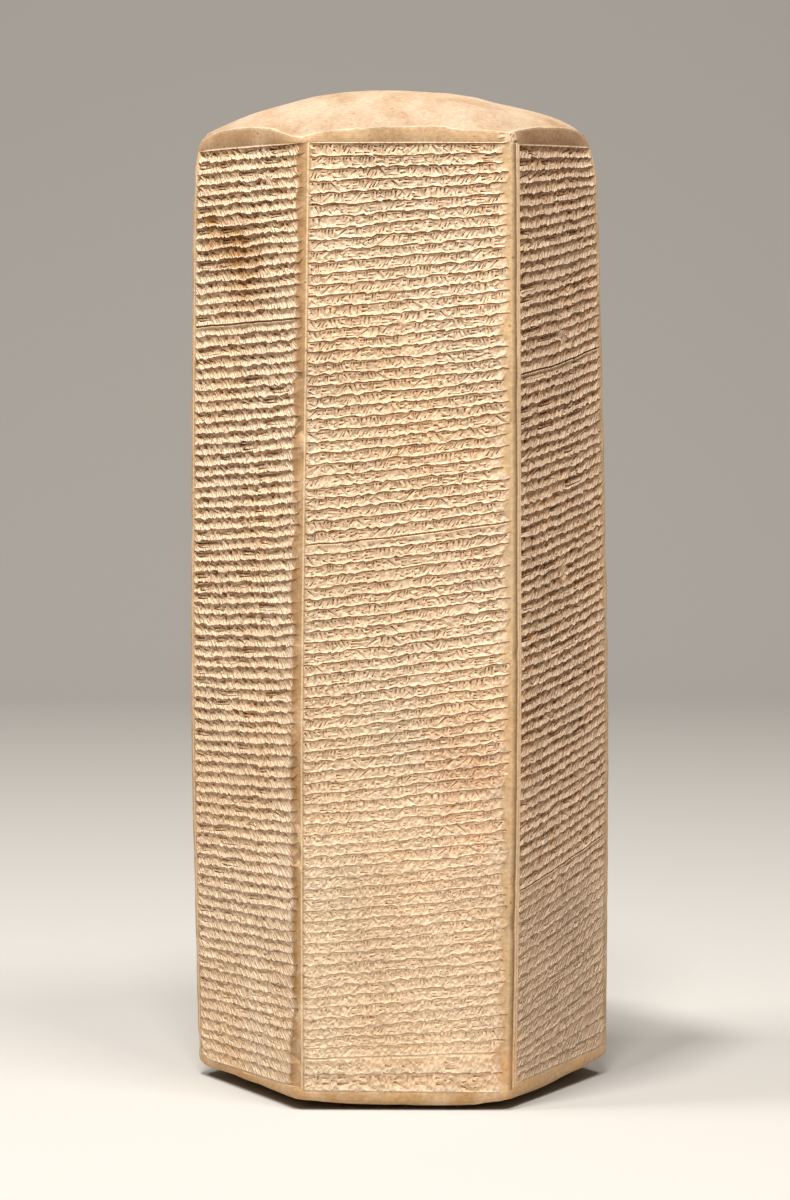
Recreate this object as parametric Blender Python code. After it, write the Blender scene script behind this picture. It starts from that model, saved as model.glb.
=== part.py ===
"""A six-sided clay prism that stands on end. It is one solid block, a little barrelled, twisted and leaning,
with a domed crown and a domed underside, and slanting rows of writing sunk between plain margins on each side."""

import math

import bmesh
import bpy
from mathutils import Vector

# Size of the block, in metres
HEIGHT = 0.380
ACROSS_FLATS = 0.1407  # at the widest level
SIDES = 6
ARRIS_RADIUS = 0.0045  # rounding of the upright edges between two sides

# Crown and underside, both parts of a sphere
CROWN_RISE = 0.0193  # from the crown's edge above an arris up to its top
CROWN_SET_BACK = 0.0041  # how far its top stands behind the middle of the block
CROWN_EDGE_RADIUS = 0.0015
BASE_LIFT = 0.0054  # how far the underside rises from the flat foot to an arris
BASE_EDGE_RADIUS = 0.0035
FOOT_INSET = 0.0132  # from the middle of a side in to the flat foot

# How the block departs from a true prism
BELLY_AT = 0.37  # share of the height at which it is widest
TOP_DRAW_IN = 0.0034  # what each side loses from there to the crown
BASE_DRAW_IN = 0.0014  # and to the base
BARREL_POWER = 1.3  # 1 gives straight sides, 2 an even curve
BASE_TURN = math.radians(-0.5)
TWIST = math.radians(4.2)  # further turn of the crown, to the right seen from the front
LEAN = 0.0028  # how far the crown stands to the left of the base

# Writing
ROW_PITCH = 0.00403
ROW_RISES = (0.10, 0.16, 0.10, 0.09, 0.12, 0.06)  # slope of the rows, up to the right, on each side
LEVEL_ROWS_REACH = 0.045  # height over which the slope grows from the level first and last rulings
MARGIN = 0.0012  # plain flat strip beside each arris
TOP_BAND = 0.0008  # plain clay above the first ruling, at the lowest arris
BASE_BAND = 0.0013  # and below the last ruling
FIELD_DEPTH = 0.00015  # depth of a row at its lower edge
RULING_DEPTH = 0.00065  # depth of a row at its upper edge, under the ruled line
SECTION_DEPTH = 0.00105  # the same, where a section of the text begins
LEDGE_HEIGHT = 0.0004  # height of the small ledge between two rows
SECTIONS_AT = ((0.56, 0.055), (0.725, 0.226), (0.40,), (0.66, 0.31), (0.52,), (0.77, 0.44))  # shares of the height

# How finely the shape is divided
ARRIS_STEPS = 4
SIDE_STEPS = 6
LEVEL_SPACING = 0.030
EDGE_STEPS = 3
CROWN_STEPS = 6
BASE_STEPS = 2

CLAY_COLOUR = (0.56, 0.42, 0.28, 1.0)
CLAY_ROUGHNESS = 0.9
SMOOTH_ANGLE = math.radians(25)

# Values worked out from the sizes
APOTHEM = ACROSS_FLATS / 2
HALF_ANGLE = math.pi / SIDES
HALF_SIDE = (APOTHEM - ARRIS_RADIUS) * math.tan(HALF_ANGLE)  # half of the flat width of a side
HALF_FIELD = HALF_SIDE - MARGIN
CORNER_RADIUS = (APOTHEM - ARRIS_RADIUS) / math.cos(HALF_ANGLE) + ARRIS_RADIUS


def clear_scene():
    for obj in list(bpy.data.objects):
        bpy.data.objects.remove(obj, do_unlink=True)


def spread(height):
    """Width at this height as a share of the greatest width."""
    belly = BELLY_AT * HEIGHT
    if height > belly:
        draw_in, share = TOP_DRAW_IN, (height - belly) / (HEIGHT - belly)
    else:
        draw_in, share = BASE_DRAW_IN, (belly - height) / belly
    return 1 - draw_in / APOTHEM * share**BARREL_POWER


def placed(across, height):
    """A point of the section at this height, turned and moved as the block twists and leans."""
    turn = BASE_TURN + TWIST * height / HEIGHT
    x = across.x * math.cos(turn) - across.y * math.sin(turn)
    y = across.x * math.sin(turn) + across.y * math.cos(turn)
    return Vector((x - LEAN * height / HEIGHT, y, height))


def side_angle(side):
    """Direction that a side faces. Side 0 is the front."""
    return -math.pi / 2 + 2 * HALF_ANGLE * side


def on_side(side, along, depth=0.0):
    """Point of the widest section on a side, by its distance from the middle and its depth in the clay."""
    facing = Vector((math.cos(side_angle(side)), math.sin(side_angle(side))))
    return facing * (APOTHEM - depth) + Vector((-facing.y, facing.x)) * along


def on_arris(side, step):
    """Point of the widest section on the rounded edge after a side."""
    middle = side_angle(side) + HALF_ANGLE
    centre_distance = (APOTHEM - ARRIS_RADIUS) / math.cos(HALF_ANGLE)
    centre = Vector((math.cos(middle), math.sin(middle))) * centre_distance
    angle = side_angle(side) + 2 * HALF_ANGLE * step / ARRIS_STEPS
    return centre + Vector((math.cos(angle), math.sin(angle))) * ARRIS_RADIUS


def strip_section(side):
    """The plain strip after a side: its margin, its arris and the next side's margin."""
    arris = [on_arris(side, step) for step in range(ARRIS_STEPS + 1)]
    return [on_side(side, HALF_FIELD), *arris, on_side(side + 1, -HALF_FIELD)]


def field_section(side):
    """The points between the two edges of a side's field of writing."""
    steps = range(1, SIDE_STEPS)
    return [on_side(side, HALF_FIELD * (2 * step / SIDE_STEPS - 1)) for step in steps]


def whole_section():
    points = []
    for side in range(SIDES):
        points += strip_section(side) + field_section(side + 1)
    return points


class Cap:
    """The rounded end above or below the writing: a fillet around the edge, then a part of a sphere."""

    def __init__(self, sphere_radius, sphere_height, fillet, width_share, upward, set_back=0.0):
        self.sphere_radius = sphere_radius
        self.sphere_height = sphere_height
        self.fillet = fillet
        self.width_share = width_share
        self.upward = upward
        self.middle = Vector((0, set_back))

    def fillet_height(self, across):
        """Height of the fillet's centre beside a point of the section."""
        radius = (across * self.width_share - self.middle).length
        rise = math.sqrt((self.sphere_radius - self.fillet) ** 2 - (radius - self.fillet) ** 2)
        return self.sphere_height + self.upward * rise

    def fillet_point(self, across, share):
        """From the side at share 0 to the sphere at share 1."""
        outward = across * self.width_share - self.middle
        reach = math.acos((outward.length - self.fillet) / (self.sphere_radius - self.fillet))
        angle = reach * share
        inset = self.fillet * (1 - math.cos(angle))
        rise = self.fillet * math.sin(angle)
        place = self.middle + outward.normalized() * (outward.length - inset)
        return place, self.fillet_height(across) + self.upward * rise

    def sphere_point(self, across, share, inner_radius):
        """From the fillet at share 0 to the inner radius at share 1."""
        outward = self.fillet_point(across, 1)[0] - self.middle
        radius = outward.length + (inner_radius - outward.length) * share
        rise = math.sqrt(self.sphere_radius**2 - radius**2)
        return self.middle + outward.normalized() * radius, self.sphere_height + self.upward * rise


def crown_cap():
    width_share = spread(HEIGHT)
    corner = CORNER_RADIUS * width_share
    radius = (corner**2 + CROWN_RISE**2) / (2 * CROWN_RISE)
    return Cap(radius, HEIGHT - radius, CROWN_EDGE_RADIUS, width_share, 1, CROWN_SET_BACK)


def foot_radius():
    return APOTHEM * spread(0) - FOOT_INSET


def base_cap():
    width_share = spread(0)
    corner = CORNER_RADIUS * width_share
    below_corner = (corner**2 - foot_radius() ** 2 - BASE_LIFT**2) / (2 * BASE_LIFT)
    radius = math.hypot(below_corner, corner)
    return Cap(radius, math.sqrt(radius**2 - foot_radius() ** 2), BASE_EDGE_RADIUS, width_share, -1)


class Writing:
    """The rows of a side, ruled from the top down."""

    def __init__(self, top, bottom):
        self.top = top
        self.bottom = bottom
        self.rows = max(1, round((top - bottom) / ROW_PITCH))

    def ruling_height(self, side, row, along):
        height = self.top + (self.bottom - self.top) * row / self.rows
        reach = min(LEVEL_ROWS_REACH, (self.top - self.bottom) / 2)
        nearest_end = min(self.top - height, height - self.bottom)
        rise = ROW_RISES[side % len(ROW_RISES)]
        return height + rise * min(1, nearest_end / reach) * along

    def begins_section(self, side, row):
        shares = SECTIONS_AT[side % len(SECTIONS_AT)]
        heights = [self.ruling_height(side, line, 0) for line in (row, row + 1)]
        return any(heights[1] <= share * HEIGHT < heights[0] for share in shares)

    def edge_line(self, side, along):
        """The sunken edge of the field: two points a row, deep below the ruling and shallow at its foot."""
        line = []
        for row in range(self.rows):
            depth = SECTION_DEPTH if self.begins_section(side, row) else RULING_DEPTH
            upper = self.ruling_height(side, row, along)
            lower = self.ruling_height(side, row + 1, along)
            ledge = min(LEDGE_HEIGHT, (upper - lower) / 2)
            for height, sunk in ((upper, depth), (lower + ledge, FIELD_DEPTH)):
                line.append((on_side(side, along, sunk), height))
        return line


def bridge(bm, lower, upper):
    """Quads between two rows of points of the same number."""
    for a, b, c, d in zip(lower, lower[1:], upper[1:], upper):
        bm.faces.new((a, b, c, d))


def bridge_ring(bm, lower, upper):
    bridge(bm, lower + lower[:1], upper + upper[:1])


def stitch(bm, first, second, order):
    """Triangles between two lines of unlike numbers of points, each in rising order."""
    i = j = 0
    while i < len(first) - 1 or j < len(second) - 1:
        second_ended = j == len(second) - 1
        if second_ended or (i < len(first) - 1 and order(first[i + 1]) <= order(second[j + 1])):
            bm.faces.new((first[i], first[i + 1], second[j]))
            i += 1
        else:
            bm.faces.new((first[i], second[j + 1], second[j]))
            j += 1


def column(bm, across, heights, bottom, top):
    """An upright line of vertices between one of the lower ring and one of the upper ring."""
    inner = [bm.verts.new(placed(across * spread(height), height)) for height in heights]
    return [bottom, *inner, top]


def add_strip(bm, side, writing, bottom_ring, top_ring):
    """The plain strip after a side. Returns its two edge columns, which the fields on each side share."""
    sections = strip_section(side)
    count = max(2, round((writing.top - writing.bottom) / LEVEL_SPACING))
    levels = [writing.bottom + (writing.top - writing.bottom) * step / count for step in range(1, count)]
    columns = []
    for i, across in enumerate(sections):
        heights = levels
        if i in (0, len(sections) - 1):
            written, along = (side, HALF_FIELD) if i == 0 else (side + 1, -HALF_FIELD)
            rows = range(writing.rows - 1, 0, -1)
            heights = [writing.ruling_height(written, row, along) for row in rows]
        columns.append(column(bm, across, heights, bottom_ring[i], top_ring[i]))
    stitch(bm, columns[0], columns[1], lambda vert: vert.co.z)
    for left, right in zip(columns[1:-2], columns[2:-1]):
        bridge(bm, left, right)
    stitch(bm, columns[-2], columns[-1], lambda vert: vert.co.z)
    return columns[0], columns[-1]


def add_field(bm, side, writing, left_edge, right_edge, bottom_points, top_points):
    """The sunken field of writing on a side, with its walls."""
    lines = []
    for edge, along in ((left_edge, -HALF_FIELD), (right_edge, HALF_FIELD)):
        places = writing.edge_line(side, along)
        line = [bm.verts.new(placed(across * spread(height), height)) for across, height in places]
        downward = edge[::-1]
        for row in range(writing.rows):
            deep, shallow = line[2 * row : 2 * row + 2]
            bm.faces.new((downward[row], deep, shallow, downward[row + 1]))
            if row < writing.rows - 1:
                bm.faces.new((downward[row + 1], shallow, line[2 * row + 2]))
        lines.append(line)
    bridge(bm, *lines)
    bm.faces.new((left_edge[-1], *top_points, right_edge[-1], lines[1][0], lines[0][0]))
    bm.faces.new((left_edge[0], *bottom_points, right_edge[0], lines[1][-1], lines[0][-1]))


def add_cap(bm, cap, ring, sphere_steps, inner_radius):
    """Builds outward from a ring of the sides. Returns the innermost ring."""
    sections = whole_section()
    stages = [(cap.fillet_point, step / EDGE_STEPS, ()) for step in range(EDGE_STEPS + 1)]
    sphere_shares = [(step + 1) / sphere_steps for step in range(sphere_steps)]
    stages += [(cap.sphere_point, share, (inner_radius,)) for share in sphere_shares]
    for point_of, share, more in stages:
        new_ring = [bm.verts.new(placed(*point_of(across, share, *more))) for across in sections]
        bridge_ring(bm, ring, new_ring)
        ring = new_ring
    return ring


def add_crown(bm, cap, ring):
    inner_radius = APOTHEM / CROWN_STEPS
    last = add_cap(bm, cap, ring, CROWN_STEPS - 1, inner_radius)
    apex = bm.verts.new(placed(cap.middle, HEIGHT))
    for a, b in zip(last, last[1:] + last[:1]):
        bm.faces.new((a, b, apex))


def prism_mesh():
    bm = bmesh.new()
    crown = crown_cap()
    base = base_cap()
    section = whole_section()
    top = min(crown.fillet_height(across) for across in section) - TOP_BAND
    bottom = max(base.fillet_height(across) for across in section) + BASE_BAND
    writing = Writing(top, bottom)

    bottom_ring = [bm.verts.new(placed(across * spread(bottom), bottom)) for across in section]
    top_ring = [bm.verts.new(placed(across * spread(top), top)) for across in section]
    strip_size = len(strip_section(0))
    block = strip_size + len(field_section(0))
    edges = []
    for side in range(SIDES):
        strip = slice(side * block, side * block + strip_size)
        edges.append(add_strip(bm, side, writing, bottom_ring[strip], top_ring[strip]))
    for side in range(SIDES):
        before = (side - 1) % SIDES
        inner = slice(before * block + strip_size, (before + 1) * block)
        left_edge, right_edge = edges[before][1], edges[side][0]
        add_field(bm, side, writing, left_edge, right_edge, bottom_ring[inner], top_ring[inner])

    add_crown(bm, crown, top_ring)
    foot = add_cap(bm, base, bottom_ring, BASE_STEPS, foot_radius())
    bm.faces.new(foot)
    bmesh.ops.recalc_face_normals(bm, faces=bm.faces)
    stand_on_origin(bm)
    mesh = bpy.data.meshes.new("prism")
    bm.to_mesh(mesh)
    bm.free()
    return mesh


def stand_on_origin(bm):
    """Puts the origin under the middle of the block's box."""
    for axis in (0, 1):
        values = [vert.co[axis] for vert in bm.verts]
        middle = (min(values) + max(values)) / 2
        for vert in bm.verts:
            vert.co[axis] -= middle


def clay():
    material = bpy.data.materials.new("fired clay")
    material.use_nodes = True
    shader = material.node_tree.nodes["Principled BSDF"]
    shader.inputs["Base Color"].default_value = CLAY_COLOUR
    shader.inputs["Roughness"].default_value = CLAY_ROUGHNESS
    shader.inputs["Metallic"].default_value = 0.0
    return material


def main():
    clear_scene()
    collection = bpy.data.collections.new("clay prism")
    bpy.context.scene.collection.children.link(collection)
    mesh = prism_mesh()
    mesh.materials.append(clay())
    mesh.shade_smooth()
    mesh.set_sharp_from_angle(angle=SMOOTH_ANGLE)
    collection.objects.link(bpy.data.objects.new("prism", mesh))


main()
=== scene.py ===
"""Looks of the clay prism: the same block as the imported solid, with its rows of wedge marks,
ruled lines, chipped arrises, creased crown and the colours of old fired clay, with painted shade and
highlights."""

import math
import random
from collections import namedtuple

import bpy
import numpy as np
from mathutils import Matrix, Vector, noise
from mathutils.geometry import delaunay_2d_cdt


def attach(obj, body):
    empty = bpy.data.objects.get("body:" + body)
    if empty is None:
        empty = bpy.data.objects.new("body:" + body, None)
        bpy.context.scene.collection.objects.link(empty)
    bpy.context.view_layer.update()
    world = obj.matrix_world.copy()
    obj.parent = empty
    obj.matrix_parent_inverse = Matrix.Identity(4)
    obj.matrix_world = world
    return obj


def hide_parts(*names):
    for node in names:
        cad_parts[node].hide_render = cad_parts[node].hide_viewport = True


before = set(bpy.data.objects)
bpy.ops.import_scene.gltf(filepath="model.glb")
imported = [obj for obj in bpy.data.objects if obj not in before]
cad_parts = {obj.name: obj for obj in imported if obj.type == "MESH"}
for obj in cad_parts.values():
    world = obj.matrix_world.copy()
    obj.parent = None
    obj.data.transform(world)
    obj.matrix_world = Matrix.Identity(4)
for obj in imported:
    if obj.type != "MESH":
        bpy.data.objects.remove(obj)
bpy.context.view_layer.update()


def by_side(front, right, left, hidden):
    """A value for each side, counted to the right from the front. The three hidden sides share one."""
    return front, right, hidden, hidden, hidden, left


# Size of the block, in metres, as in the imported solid
HEIGHT = 0.380
ACROSS_FLATS = 0.1407  # at the widest level
SIDES = 6
CLOSE_SET_SIDES = (1, 5)  # the two sides seen at a slant, right and left of the front
ARRIS_RADIUS = 0.0045
BELLY_AT = 0.37  # share of the height at which it is widest
TOP_DRAW_IN = 0.0034
BASE_DRAW_IN = 0.0014
BARREL_POWER = 1.3
BASE_TURN = math.radians(-0.5)
TWIST = math.radians(4.2)
LEAN = 0.0028
AXIS_X = 0.00103  # puts the middle of the block's box over the origin

# Crown and underside
CROWN_RISE = 0.0193
CROWN_SET_BACK = 0.0041
CREASE_ROUNDING = 0.0006
CREASE_WAVER = 0.0004
NARROWEST_BAND = 0.0011
BAND_LEAN = 0.0009  # how far the plain band leans in below the crease
BASE_LIFT = 0.0054
BASE_EDGE_RADIUS = 0.0035
LOWEST_STEP = 0.0006  # least height from the last ruled line down to the lower edge
FOOT_INSET = 0.0132

# Ruled lines of each side, as number and height at the middle of the side. The others lie evenly between
RULED_LINES = (
    ((0, 0.3568), (35, 0.2141), (83, 0.0209), (85, 0.0074)),
    ((0, 0.3572), (86, 0.0112)),
    ((0, 0.3572), (86, 0.0100)),
    ((0, 0.3570), (86, 0.0092)),
    ((0, 0.3568), (86, 0.0090)),
    ((0, 0.3564), (86, 0.0084)),
)
# Their slope up to the right, as height and slope
SLOPES = (
    ((0.357, 0.003), (0.343, 0.055), (0.322, 0.082), (0.256, 0.09), (0.212, 0.115), (0.146, 0.115),
     (0.101, 0.08), (0.034, 0.08), (0.021, 0.03), (0.007, -0.01)),
    ((0.358, 0.02), (0.344, 0.08), (0.322, 0.115), (0.277, 0.135), (0.144, 0.145), (0.097, 0.185),
     (0.05, 0.21), (0.027, 0.18), (0.011, 0.04)),
    ((0.357, 0.01), (0.32, 0.09), (0.2, 0.1), (0.04, 0.11), (0.01, 0.000)),
    ((0.357, 0.000), (0.32, 0.06), (0.18, 0.1), (0.05, 0.08), (0.01, 0.01)),
    ((0.357, 0.01), (0.31, 0.1), (0.22, 0.12), (0.06, 0.11), (0.01, 0.000)),
    ((0.357, 0.005), (0.345, 0.015), (0.3, 0.04), (0.232, 0.07), (0.12, 0.06), (0.06, 0.045),
     (0.008, 0.022)),
)
BOWS = (0.30, 0.60, 0.10, -0.15, 0.20, 0.10)  # how much they curve up to the right, per metre
BOW_FADE = 0.06  # the bow fades over this height toward the first and the last line
# Their waver: rise, reach along a line, reach from line to line, and a shift from side to side
WAVERS = ((0.00048, 0.013, 0.009, 7.3), (0.00024, 0.0042, 0.006, 5.1))
WAVER_FADE = 0.012
LEFT_MARGINS = (0.0010, 0.0031, 0.0014, 0.0015, 0.0014, 0.0013)
RIGHT_MARGINS = (0.0000, 0.0008, 0.0016, 0.0014, 0.0015, -0.0018)  # below nought the rows run onto the arris
RAGGED = by_side(0.0016, 0.0006, 0.0016, 0.0006)  # how unevenly the rows end at the right
LEDGE = 0.00046  # height of the step under each ruled line
BITE_HEIGHTS = by_side(0.00046, 0.00042, 0.00046, 0.00020)  # how far strokes bite up over a line
LIP_BITES = by_side(0.00002, 0.00018, 0.00006, 0.00015)  # how deep they bite into the lip over it
SECTION_LINES = ({35, 83}, {20, 67}, {51}, {26, 59}, {39}, {16})  # the lines between sections of the text
SECTION_DEPTHS = by_side(0.00075, 0.00105, 0.00105, 0.00105)
SECTION_SHADES = by_side(0.50, 1.0, 1.0, 1.0)  # how dark the painted shade in these lines is

# Ground of a row: depth under its ruled line, at the end of the trough, at the swelling and at the lip
RULING_DEPTHS = by_side(0.00050, 0.00080, 0.00085, 0.00055)
TROUGH_DEPTHS = by_side(0.00022, 0.00062, 0.00062, 0.00034)
SWELL_DEPTHS = by_side(0.00024, 0.00018, 0.00030, 0.00018)
LIP_DEPTH = 0.00001
TROUGH_AT = 0.44  # share of the row at which the trough ends
SWELL_AT = 0.70  # share of the row at which the swelling over the next line begins
SHOULDER_AT = 0.14  # share of the row at which a section's first row begins, under a flat shoulder
GROUND_JITTERS = by_side(0.00026, 0.00015, 0.00016, 0.00020)  # unevenness of the clay between strokes
LEVEL_JITTER = 0.07  # unevenness of the trough and the swelling, as a share of the row
FIELD_EDGE = 0.004  # within this distance of an arris the rows get shallower,
EDGE_RELIEF = 0.55  # down to this share of their depth
END_FADE = 0.0007  # the ground rises to nothing over this distance at both ends of a row
BITE_DEPTH = (0.75, 0.6)  # depth under a ruled line where no stroke bites, and what a full bite adds
BITE_SHADE = (0.2, 0.7)  # the same for the painted shade there
ROW_MARGIN = 0.00016  # how far the strokes stay inside their row
TROUGH_SHADES = by_side(0.16, 0.80, 0.40, 0.34)  # how dark the painted shade in the trough of a row is
LEDGE_SHADES = by_side(1.45, 1.15, 0.95, 0.9)  # how dark the painted shadow on the step under a ruled line is
END_SHADES = by_side(0.3, 0.3, 1.1, 0.3)  # how dark the painted shade at the right end of a ruled line is

# Strokes
CELLS = by_side(0.0043, 0.0200, 0.0160, 0.0160)  # mean width of a sign
CELL_SPREAD = (0.72, 1.30)
EMPTY_CELLS = 0.025
ROW_END_GAP = 0.0002
LARGE_SIGNS_FROM = 83  # the first of the front's rows that are written larger
LARGE_SIGN_SCALE = 1.6
LEANS = (-0.10, -0.95, 0.2, -0.2, 0.3, 1.05)  # how far the strokes lean as they go down
LEAN_JITTER = 0.10
STROKE_BANDS = by_side(1.0, 0.92, 0.88, 0.95)  # how far down the row the strokes reach
STROKE_JITTER = 0.035  # of its ends, as a share of the cell
STROKE_DEPTHS = by_side(0.00088, 0.00085, 0.00090, 0.00065)
STROKE_SHADES = by_side(0.58, 0.8, 0.8, 0.6)  # how dark the painted shade in a stroke is at its deepest
TAIL_SHARE = 0.30  # depth of a stroke at its tail against its head
USUAL_HEAD = 0.00050  # half of a stroke's width at its head
HEAD_SPREAD = (0.78, 1.12)
HEAD_SHARES = by_side(1.0, 1.8, 1.8, 1.5)
WIDEST_HEAD = 0.20  # half of the head's width, as a share of the cell
CUT_SPREAD = (0.7, 1.25)
DEEPEST_AT = 0.30  # share of a stroke's length at which it is deepest
HIGHEST_STROKE = 0.84  # share of a section's first row that its strokes keep to
SMALLEST_STROKE = 4e-7  # twice the area of the smallest stroke that is drawn

# How finely the mesh follows all this
LINE_COLUMNS = by_side(46, 44, 50, 8)  # straight pieces in a ruled line
COLUMN_JITTER = 0.6  # unevenness of the pieces
RING_STEPS = by_side(1, 4, 5, 1)  # how many of them one piece of the first and the last line spans
TROUGH_STEPS = by_side(2, 1, 1, 1)  # columns from one vertex to the next at the end of the trough
SWELL_STEPS = by_side(1, 1, 1, 2)  # the same where the swelling begins
STRIP_LEVELS = 110
ARC_STEPS = 4
BAND_RINGS = ((0.09, 0.0), (0.34, 0.07), (0.62, 0.35), (0.88, 0.8))  # shares of the band's height and lean
DOME_RINGS = (0.972, 0.95, 0.92, 0.86, 0.79, 0.71, 0.62, 0.53, 0.44, 0.35, 0.26, 0.17, 0.08)

SEED = 31

# Values worked out from the sizes
ROW_COUNTS = tuple(lines[-1][0] for lines in RULED_LINES)
TOP_RULINGS = tuple(lines[0][1] for lines in RULED_LINES)
LAST_RULINGS = tuple(lines[-1][1] for lines in RULED_LINES)
APOTHEM = ACROSS_FLATS / 2
HALF_ANGLE = math.pi / SIDES
HALF_SIDE = (APOTHEM - ARRIS_RADIUS) * math.tan(HALF_ANGLE)
ARRIS_CENTRE = (APOTHEM - ARRIS_RADIUS) / math.cos(HALF_ANGLE)
CORNER_RADIUS = ARRIS_CENTRE + ARRIS_RADIUS
ARC_LENGTH = ARRIS_RADIUS * 2 * HALF_ANGLE
BLOCK = 2 * HALF_SIDE + ARC_LENGTH  # one side and one arris, along the surface
WHOLE = SIDES * BLOCK  # once around the block


def clamp(value, low=0.0, high=1.0):
    return min(high, max(low, value))


def smooth(low, high, value):
    share = clamp((value - low) / (high - low))
    return share * share * (3 - 2 * share)


def from_table(table, value):
    return float(np.interp(value, *zip(*sorted(table))))


def ripple(x, y, z):
    """Smooth noise from -1 to 1."""
    return noise.noise(Vector((x, y, z)))


def chance(column, line, layer):
    """A value from 0 to 1 for a place in a grid."""
    return noise.cell(Vector((column + 0.5, line + 0.5, layer + 0.5)))


def direction(side):
    """The way a side faces. Half way from one side to the next it is that of the arris between them."""
    angle = 2 * HALF_ANGLE * side - math.pi / 2
    return Vector((math.cos(angle), math.sin(angle)))


def on_side(side, along):
    """Point of the widest section on a side, and the direction the surface faces there."""
    facing = direction(side)
    return facing * APOTHEM + Vector((-facing.y, facing.x)) * along, facing


def on_arris(side, share):
    """The same on the arris after a side, at a share of its arc."""
    facing = direction(side + share)
    return direction(side + 0.5) * ARRIS_CENTRE + facing * ARRIS_RADIUS, facing


def draw_in(height):
    """Size of the section at a height, or at an array of heights, against the widest."""
    belly = BELLY_AT * HEIGHT
    upper = TOP_DRAW_IN / APOTHEM * np.clip((height - belly) / (HEIGHT - belly), 0, None) ** BARREL_POWER
    lower = BASE_DRAW_IN / APOTHEM * np.clip((belly - height) / belly, 0, None) ** BARREL_POWER
    return 1 - upper - lower


# Kinds of surface
TEXT, LIP, MARGIN, RIDGE, ARRIS, BAND, CREASE, DOME, EDGE, UNDER = range(10)

# recess: how far the clay's colour is darkened at a vertex, painted shade for the cuts, troughs and steps
# under the ruled lines
Vert = namedtuple("Vert", "place facing depth height around recess kind worn")


class Surface:
    """Vertices given on the widest section, with their depth in the clay, and the triangles between them."""

    def __init__(self):
        self.verts = []
        self.faces = []
        self.region = []

    def add(self, place, facing, depth, height, around, recess, kind, worn=1.0):
        self.verts.append(Vert(place, facing, depth, height, around, recess, kind, worn))
        return len(self.verts) - 1

    def on_side(self, side, along, depth, height, recess=0.0, kind=TEXT):
        place, facing = on_side(side, along)
        if along > HALF_SIDE:
            depth += ARRIS_RADIUS - math.sqrt(ARRIS_RADIUS**2 - (along - HALF_SIDE) ** 2)
        return self.add(place, facing, depth, height, side * BLOCK + along, recess, kind)

    def triangle(self, a, b, c, region):
        if a != b and b != c and c != a:
            self.faces.append((a, b, c))
            self.region.append(region)

    def quad(self, a, b, c, d, region):
        self.triangle(a, b, c, region)
        self.triangle(a, c, d, region)


surface = Surface()
section_lines = [[] for _ in range(SIDES)]  # the vertices of the lines between sections, by side


def is_end(side, line):
    """Whether a ruled line is the first or the last one of its side."""
    return line in (0, ROW_COUNTS[side])


def ruling(side, line, along):
    """Height of a ruled line. Whole numbers are the lines between rows, and 0 is the first one."""
    level = from_table(RULED_LINES[side], line)
    from_end = min(TOP_RULINGS[side] - level, level - LAST_RULINGS[side])
    slope = from_table(SLOPES[side], level)
    bow = BOWS[side] * smooth(0.0, BOW_FADE, from_end) * along * along
    waver = sum(rise * ripple(along / wide, level / tall, side * shift) for rise, wide, tall, shift in WAVERS)
    return level + slope * along + bow + waver * clamp(from_end / WAVER_FADE)


def row_depth(side, row, share, along):
    """Depth of a row's ground, from its ruled line at share 0 down to its lip at share 1."""
    strength = 1 + 0.2 * ripple(row * 0.83, side * 3.1, 4.0)  # of the ruled line
    depths = (RULING_DEPTHS[side] * strength, TROUGH_DEPTHS[side], SWELL_DEPTHS[side], LIP_DEPTH)
    depth = float(np.interp(share, (0.0, TROUGH_AT, SWELL_AT, 1.0), depths))
    swell = 1 + 0.35 * ripple(along / 0.006, row * 0.9, side * 5.0)
    swell += 0.75 * ripple(along / 0.0019, row * 1.7, side * 8.0 + share)
    from_arris = clamp((HALF_SIDE - abs(along)) / FIELD_EDGE)
    return depth * swell * (EDGE_RELIEF + (1 - EDGE_RELIEF) * from_arris)


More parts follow.
